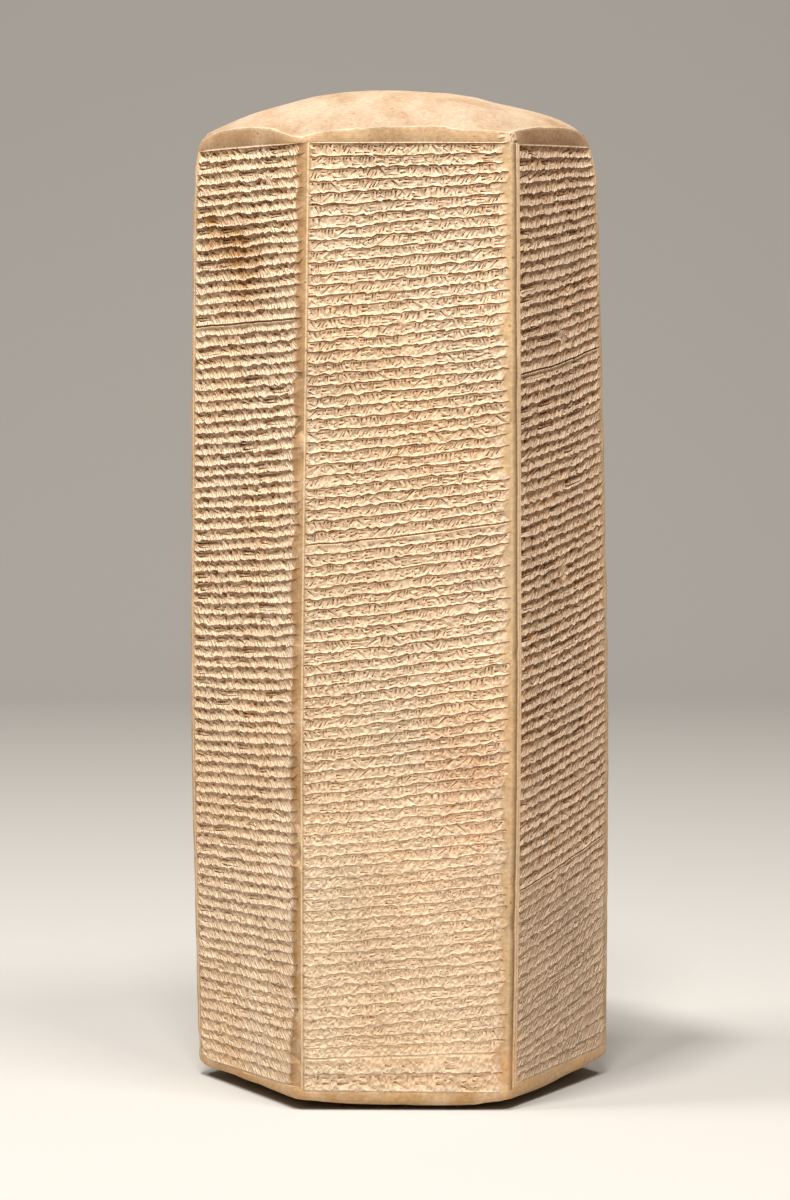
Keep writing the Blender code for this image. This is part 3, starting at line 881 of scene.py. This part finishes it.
# The plain band under the crease, by side: its own tan clay with painted shade, darkest on the right and the
# left side
BAND_CLAYS = ((0.343, 0.216, 0.112), (0.225, 0.122, 0.058), (0.32, 0.21, 0.12), (0.34, 0.225, 0.13),
              (0.32, 0.21, 0.12), (0.26, 0.155, 0.075))
SCRAPED_CLAY = (0.47, 0.36, 0.255)
UNDER_CLAY = (0.50, 0.35, 0.22)
LIP_HIGHLIGHT_CLAY = (0.72, 0.585, 0.445)  # painted highlight on the lips between rows, the palest
# Painted highlight on the ridges down the margins
RIDGE_HIGHLIGHT_CLAY = (0.74, 0.56, 0.37)
STAIN_CLAY = (0.40, 0.22, 0.08)
ORANGE_CLAY = (0.70, 0.34, 0.13)
BROWN_FROM = 0.35  # strength above which a stain is brown and no longer orange
# Stains: side, place along it, height, reach around, reach up, strength
STAINS = (
    (5, -0.004, 0.316, 0.014, 0.014, 0.95),
    (5, -0.027, 0.330, 0.008, 0.012, 0.75),
    (5, -0.014, 0.322, 0.016, 0.010, 0.55),
    (5, 0.004, 0.304, 0.009, 0.008, 0.60),
    (0, 0.024, 0.120, 0.017, 0.030, 0.32),
    (0, 0.018, 0.205, 0.018, 0.020, 0.10),
    (0.5, 0.0, 0.020, 0.008, 0.010, 0.35),
    (0, 0.026, 0.0075, 0.010, 0.0045, 0.50),
    (4.9, 0.0, 0.012, 0.010, 0.006, 0.30),
    (2.1, 0.0, 0.230, 0.014, 0.022, 0.40),
    (3.2, 0.0, 0.090, 0.016, 0.018, 0.40),
)


def noise_at(scale_around, scale_up, shift):
    """A noise value at every vertex, from -1 to 1, by place around the block and height."""
    turn = around * (2 * math.pi / WHOLE)
    ring = WHOLE / (2 * math.pi) / scale_around
    spots = zip(np.cos(turn) * ring, np.sin(turn) * ring, height / scale_up + shift)
    return np.array([ripple(*spot) for spot in spots])


def blend(colours, colour, share):
    return colours + (np.array(colour) - colours) * np.clip(share, 0, 1)[:, None]


def tints():
    """Colour of the clay at every corner of the faces, before its fine variation, with painted highlights and
    painted shade in it.
    """
    broad = noise_at(0.030, 0.040, 3.0)
    patchy = noise_at(0.008, 0.008, 11.0)
    right = from_place(BLOCK)
    lower_right = np.exp(-((right / 0.034) ** 4)) * np.clip((0.096 - height) / 0.02, 0, 1)
    turned = np.clip((around - HALF_SIDE) / ARC_LENGTH * 2 - 0.7, 0, 1)
    layers = [
        (PINK_CLAY, 0.5 + 1.1 * broad),
        # Greyer clay low on the right, its own tone, and over the right side, partly its tone and partly
        # painted shade for the side that gets less light
        (GREY_CLAY, 0.75 * lower_right),
        (GREY_CLAY, 0.70 * np.exp(-((right / 0.040) ** 6))),
        (np.array(STRIP_CLAYS)[arris_of], np.isin(kind, (ARRIS, MARGIN)) * (0.88 + 0.55 * patchy)),
        # painted shade on the part of the right arris turned away from the light
        (TURN_SHADE_CLAY, (kind == ARRIS) * (arris_of == 0) * turned),
        # painted highlight on the ridges
        (RIDGE_HIGHLIGHT_CLAY, (kind == RIDGE) * (0.75 + 0.4 * patchy)),
        (np.array(BAND_CLAYS)[side_of], (kind == BAND) * (0.9 + 0.25 * patchy)),
        (SCRAPED_CLAY, (kind == BAND) * (from_place(SCRAPE_AT) < SCRAPE_REACH) * (0.85 + 0.5 * patchy)),
        # the crease and the dome, painted darker against the light from above
        (DIMMED_CROWN_CLAY, (kind == CREASE) * (0.75 + 0.6 * patchy)),
        (DIMMED_CROWN_CLAY, (kind == DOME) * 1.0),
        (OCHRE_CLAY, (kind == EDGE) * (0.80 + 0.9 * patchy)),
        (UNDER_CLAY, (kind == UNDER) * 1.0),
    ]
    for side, along, level, reach, up, strength in STAINS:
        away = (from_place(side * BLOCK + along) / reach) ** 2 + ((height - level) / up) ** 2
        clay = STAIN_CLAY if strength > BROWN_FROM else ORANGE_CLAY
        layers.append((clay, strength * np.exp(-away) * (1.1 + 1.2 * patchy) * (kind != DOME)))
    colours = np.tile(np.array(TEXT_CLAY), (len(height), 1))
    for clay, share in layers:
        colours = blend(colours, clay, share)
    # Painted highlight on the lips
    corners = blend(colours, LIP_HIGHLIGHT_CLAY, 0.8 * (kind == LIP))[faces]
    # The steps under the ruled lines keep the clay without the lips' painted highlight, under their painted
    # shadow
    corners[ledges] = colours[faces[ledges]]
    return np.clip(corners, 0, 1)


TEXTURE_SPAN = 0.545  # metres of the surface from one edge of the texture to the other
TEXTURE_GAP = 0.003


def texture_places():
    """Where the faces' corners lie in the texture: the sides unrolled over the crown and the underside."""
    turns = around[faces]
    turns = np.where(turns.max(axis=1, keepdims=True) - turns > WHOLE / 2, turns + WHOLE, turns)
    disc = 2 * CORNER_RADIUS + TEXTURE_GAP
    spots = np.stack([turns + HALF_SIDE, height[faces] + disc], axis=2)
    for name, middle, turned in (("dome", 0.5 * disc, 1), ("under", 1.5 * disc, -1)):
        chosen = region == name
        spots[chosen] = places[faces[chosen]][:, :, :2] * (1, turned) + (middle, CORNER_RADIUS)
    return (spots + TEXTURE_GAP) / TEXTURE_SPAN


def store(name, values, kind="FLOAT", domain="POINT", field="value"):
    layer = mesh.attributes.new(name, kind, domain)
    layer.data.foreach_set(field, values.astype(np.float32).ravel())


# How much finer the bump's strokes are across and up on the close-set sides
CLOSE_SET_STROKES = (1.05, 0.62)

mesh.uv_layers.new(name="OFBake").data.foreach_set("uv", texture_places().astype(np.float32).ravel())
# Painted shade at each corner of the faces. The steps under the ruled lines get their painted shadow
shades = recess[faces]
shades[ledges] = (faded * np.array(LEDGE_SHADES)[side_of])[faces[ledges]]
store("recess", shades, domain="CORNER")
store("crown", np.where(kind == DOME, 1.0, np.where(kind == CREASE, 0.6, 0.0)))
close_set = np.isin(side_of, CLOSE_SET_SIDES)
worn_off = np.clip((0.110 - height) / 0.06, 0, 1) * close_set
store("text", np.isin(kind, (TEXT, LIP)) * (np.where(close_set, 1.0, 0.7) + 0.5 * worn_off))
along_of = around - np.floor(around / BLOCK + 0.5) * BLOCK
slope_of = np.array([from_table(SLOPES[side], level) for side, level in zip(side_of, height)])
across_of = (along_of + np.array(LEANS)[side_of] * height) * np.where(close_set, CLOSE_SET_STROKES[0], 1.0)
up_of = (height - slope_of * along_of) * np.where(close_set, CLOSE_SET_STROKES[1], 1.0)
store("scroll", np.column_stack([across_of, up_of, side_of * 0.1]), "FLOAT_VECTOR", field="vector")
store("tint", np.insert(tints().reshape(-1, 3), 3, 1.0, axis=1), "FLOAT_COLOR", "CORNER", "color")


class Nodes:
    """Short names for the shader nodes in use."""

    def __init__(self, material):
        self.tree = material.node_tree
        self.places = self.new("TexCoord").outputs["Object"]

    def new(self, kind):
        return self.tree.nodes.new("ShaderNode" + kind)

    def fill(self, node, inputs, output=0):
        """Sets inputs of a node, each to a value or another node's output. Returns one of its outputs."""
        for name, value in inputs.items():
            if isinstance(value, bpy.types.NodeSocket):
                self.tree.links.new(value, node.inputs[name])
            else:
                node.inputs[name].default_value = value
        return node.outputs[output]

    def attribute(self, name, output="Fac"):
        node = self.new("Attribute")
        node.attribute_name = name
        return node.outputs[output]

    def stretched(self, source, stretch):
        return self.fill(self.new("Mapping"), {"Vector": source, "Scale": stretch})

    def noise(self, scale, detail=3.0, roughness=0.55, source=None):
        inputs = {"Vector": source or self.places, "Scale": scale, "Detail": detail, "Roughness": roughness}
        return self.fill(self.new("TexNoise"), inputs, "Fac")

    def cells(self, scale, source=None):
        inputs = {"Vector": source or self.places, "Scale": scale}
        return self.fill(self.new("TexVoronoi"), inputs, "Distance")

    def span(self, value, low, high, to_low=0.0, to_high=1.0):
        inputs = {"Value": value, "From Min": low, "From Max": high, "To Min": to_low, "To Max": to_high}
        return self.fill(self.new("MapRange"), inputs, "Result")

    def math(self, operation, first, second):
        node = self.new("Math")
        node.operation = operation
        return self.fill(node, {0: first, 1: second})

    def times(self, first, second):
        return self.math("MULTIPLY", first, second)

    def shaded(self, share, colour, shade):
        """A colour multiplied by a shade, as far as the share says."""
        node = self.new("Mix")
        node.data_type = "RGBA"
        node.blend_type = "MULTIPLY"
        return self.fill(node, {0: share, 6: colour, 7: shade}, 2)

    def grey(self, value):
        return self.fill(self.new("CombineColor"), {0: value, 1: value, 2: value})


# What the clay is multiplied by: painted shade in the deepest cuts, and darkening in the pits and in the tan
# clouds on the crown
RECESS_SHADE = (0.45, 0.235, 0.080, 1.0)
PIT_SHADE = (0.55, 0.46, 0.38, 1.0)
CLOUD_SHADE = (0.78, 0.68, 0.56, 1.0)
STROKE_BUMP = 4.4  # height of the finest strokes against the grain


def clay_material():
    material = bpy.data.materials.new("fired clay")
    material.use_nodes = True
    n = Nodes(material)
    shader = material.node_tree.nodes["Principled BSDF"]
    broad = n.span(n.noise(38.0, 5.0, 0.62), 0.3, 0.7, 0.90, 1.09)
    fine = n.span(n.noise(620.0, 4.0, 0.65), 0.3, 0.7, 0.80, 1.15)
    colour = n.shaded(1.0, n.attribute("tint", "Color"), n.grey(n.times(broad, fine)))
    clouds = n.noise(55.0, 6.0, 0.65, n.stretched(n.places, (1.0, 0.45, 1.0)))
    colour = n.shaded(n.times(n.attribute("crown"), n.span(clouds, 0.44, 0.66)), colour, CLOUD_SHADE)
    pits = n.times(n.span(n.cells(310.0), 0.22, 0.06), n.span(n.noise(90.0, 2.0), 0.52, 0.68))
    colour = n.shaded(pits, colour, PIT_SHADE)
    # The finest strokes, with painted shade in their hollows
    strokes = n.cells(860.0, n.stretched(n.attribute("scroll", "Vector"), (1.0, 0.62, 1.0)))
    text = n.attribute("text")
    dips = n.times(n.span(strokes, 0.42, 0.10), text)
    recess = n.times(n.attribute("recess"), n.span(dips, 0.0, 1.0, 0.55, 1.7))
    colour = n.shaded(n.math("ADD", recess, n.times(dips, 0.26)), colour, RECESS_SHADE)
    grain = n.math("ADD", n.noise(900.0, 3.0, 0.6), n.times(n.noise(260.0, 3.0, 0.6), 1.2))
    grain = n.math("SUBTRACT", grain, n.times(pits, 0.8))
    grain = n.math("ADD", grain, n.times(n.times(strokes, text), STROKE_BUMP))
    bump = n.fill(n.new("Bump"), {"Strength": 0.6, "Distance": 0.00025, "Height": grain}, "Normal")
    n.fill(shader, {"Base Color": colour, "Normal": bump, "Roughness": 0.92, "Specular IOR Level": 0.25})
    return material


mesh.materials.append(clay_material())
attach(prism, "root")
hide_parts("prism")

# Floor, light and camera
FLOOR_HALF = 2.2
FLOOR_FRONT = 3.52
FLOOR_BACK = 1.5  # where the floor begins to curve up behind the block
COVE_RADIUS = 0.9
COVE_STEPS = 24
WALL_TOP = 2.6
FLOOR_COLOUR = (0.385, 0.375, 0.362, 1.0)
LIGHT_TARGET = Vector((0, 0, 0.19))
# Lights: name, degrees to the left of the front and up, distance, size, power, colour
LIGHTS = (
    ("overhead", 32.0, 77.0, 1.9, 0.16, 34.0, (1.0, 0.965, 0.91)),
    ("upper right", -40.0, 64.0, 1.9, 0.5, 24.0, (1.0, 0.965, 0.91)),
    ("front", 2.0, 56.0, 2.1, 0.4, 32.0, (1.0, 0.97, 0.925)),
    ("left", 80.0, 60.0, 1.9, 0.4, 25.0, (1.0, 0.97, 0.925)),
)
SKY_COLOUR = (1.0, 0.80, 0.60, 1.0)
SKY_STRENGTH = 0.16
CAMERA_PLACE = (-0.0019, -1.480, 0.2915)
CAMERA_PITCH = math.radians(85.88)  # from looking straight down
CAMERA_LENS = 115.56


def pale_floor():
    """A floor that curves up into a plain wall behind."""
    line = [(-FLOOR_FRONT, 0.0), (FLOOR_BACK, 0.0)]
    for step in range(1, COVE_STEPS + 1):
        angle = math.pi / 2 * step / COVE_STEPS
        line.append((FLOOR_BACK + COVE_RADIUS * math.sin(angle), COVE_RADIUS * (1 - math.cos(angle))))
    line.append((FLOOR_BACK + COVE_RADIUS, WALL_TOP))
    verts = [(x, y, z) for y, z in line for x in (-FLOOR_HALF, FLOOR_HALF)]
    quads = [(2 * i, 2 * i + 1, 2 * i + 3, 2 * i + 2) for i in range(len(line) - 1)]
    floor_mesh = bpy.data.meshes.new("floor")
    floor_mesh.from_pydata(verts, [], quads)
    floor_mesh.shade_smooth()
    material = bpy.data.materials.new("pale floor")
    material.use_nodes = True
    shader = material.node_tree.nodes["Principled BSDF"]
    shader.inputs["Base Color"].default_value = FLOOR_COLOUR
    shader.inputs["Roughness"].default_value = 0.95
    shader.inputs["Specular IOR Level"].default_value = 0.2
    floor_mesh.materials.append(material)
    floor = add_object("floor", floor_mesh)


def area_light(name, left, up, distance, size, power, colour):
    """A square light that points at the block."""
    left, up = math.radians(left), math.radians(up)
    towards = Vector((-math.sin(left) * math.cos(up), -math.cos(left) * math.cos(up), math.sin(up)))
    data = bpy.data.lights.new(name, "AREA")
    data.shape = "SQUARE"
    data.size = size
    data.energy = power
    data.color = colour
    light = add_object(name, data)
    light.location = LIGHT_TARGET + towards * distance
    light.rotation_euler = (-towards).to_track_quat("-Z", "Y").to_euler()


pale_floor()
for light in LIGHTS:
    area_light(*light)

world = bpy.data.worlds.new("studio")
world.use_nodes = True
world.node_tree.nodes["Background"].inputs["Color"].default_value = SKY_COLOUR
world.node_tree.nodes["Background"].inputs["Strength"].default_value = SKY_STRENGTH
bpy.context.scene.world = world
bpy.context.scene.view_settings.view_transform = "Standard"

camera_data = bpy.data.cameras.new("camera")
camera_data.lens = CAMERA_LENS
camera_data.clip_start = 0.05
camera_data.clip_end = 20.0
camera = add_object("camera", camera_data)
camera.location = CAMERA_PLACE
camera.rotation_euler = (CAMERA_PITCH, 0, 0)
bpy.context.scene.camera = camera
